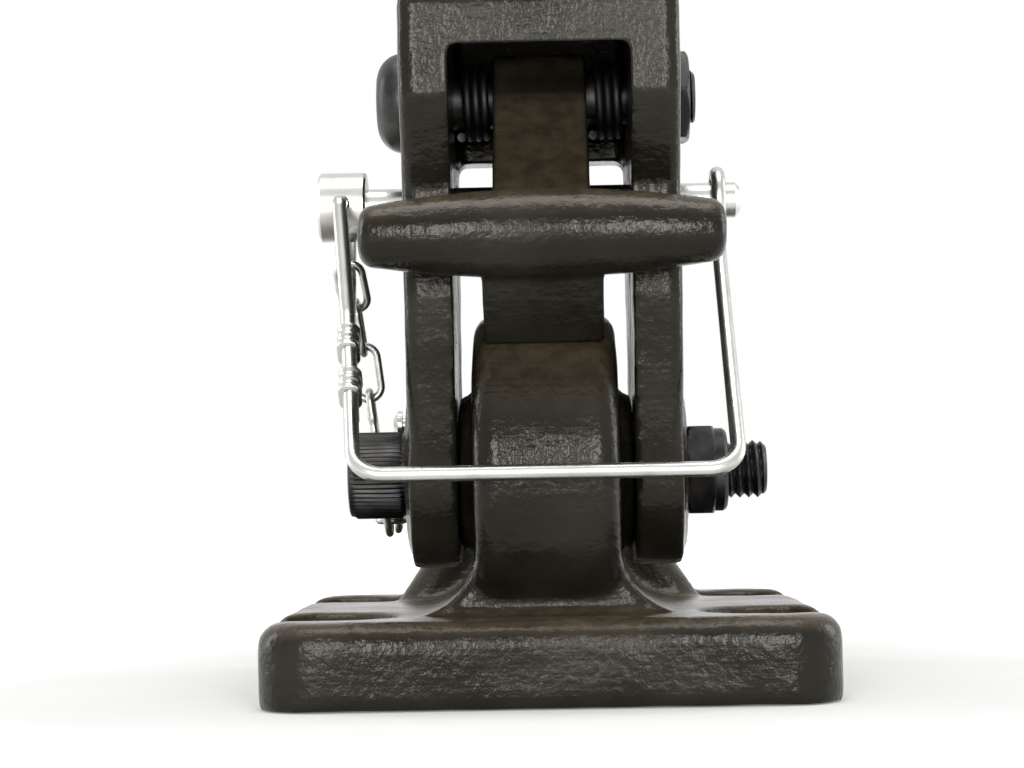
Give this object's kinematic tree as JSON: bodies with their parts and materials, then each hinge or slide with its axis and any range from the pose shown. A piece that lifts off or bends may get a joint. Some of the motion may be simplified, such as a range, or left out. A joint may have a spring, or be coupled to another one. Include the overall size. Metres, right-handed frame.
{
  "type": "pintle ball combination hitch",
  "caption": "Towing hitch with a bolted plate, a horn carrying a ball, and a hinged upper jaw held shut by a T-handle latch, a lock pin and a wire bail on a tether chain.",
  "frame": {"origin": "centre of the mounting face, on the plate's underside", "axes": "+Z out of the plate towards the jaw's nose, -Y the latch side, +Y the ball's horn, X along the pivots"},
  "size_m": [0.121, 0.1377, 0.189],
  "materials": {
    "forging_paint": "semi-gloss black paint over a rough forged skin",
    "ball_chrome": "polished plate",
    "black_oxide": "black oxide",
    "nylon": "bare nylon",
    "spring_steel": "oiled spring wire",
    "bright_zinc": "bright zinc plate",
    "chain_zinc": "zinc plate"
  },
  "bodies": {
    "base": {"mounting_forging": "forging_paint", "tow_ball": "ball_chrome", "jaw_pivot_bolt": "black_oxide", "jaw_pivot_nut": "black_oxide", "jaw_nut_insert": "nylon"},
    "jaw": {"upper_jaw": "forging_paint", "latch_pivot_bolt": "black_oxide", "latch_pivot_nut": "black_oxide", "latch_spring_left": "spring_steel", "latch_spring_right": "spring_steel", "chain_anchor": "bright_zinc", "chain_link_01": "chain_zinc", "chain_link_02": "chain_zinc", "chain_link_03": "chain_zinc", "chain_link_04": "chain_zinc", "chain_link_05": "chain_zinc", "chain_link_06": "chain_zinc", "chain_link_07": "chain_zinc", "chain_link_08": "chain_zinc", "chain_link_09": "chain_zinc", "chain_link_10": "chain_zinc"},
    "latch": {"latch": "forging_paint"},
    "bail": {"lock_pin": "bright_zinc", "wire_bail": "bright_zinc", "ferrule_upper": "bright_zinc", "ferrule_lower": "bright_zinc"}
  },
  "joints": [
    {"name": "jaw_open", "type": "hinge", "parent": "base", "child": "jaw", "pos_m": [0, -0.0235, 0.048], "axis": [1, 0, 0], "range_deg": [0, 75]},
    {"name": "latch_lift", "type": "hinge", "parent": "jaw", "child": "latch", "pos_m": [0, -0.02, 0.131], "axis": [-1, 0, 0], "range_deg": [0, 10], "stiffness_Nm_per_rad": 0.5, "springref_deg": -57.3, "deforming": ["latch_spring_left", "latch_spring_right"]},
    {"name": "bail_swing", "type": "hinge", "parent": "jaw", "child": "bail", "pos_m": [0, -0.014, 0.1086], "axis": [1, 0, 0], "range_deg": [-75, 0], "deforming": ["chain_link_01", "chain_link_02", "chain_link_03", "chain_link_04", "chain_link_05", "chain_link_06", "chain_link_07", "chain_link_08", "chain_link_09", "chain_link_10"]}
  ],
  "couplings": [
    {"joint": "bail_swing", "follows": "jaw_open", "ratio": -1}
  ]
}
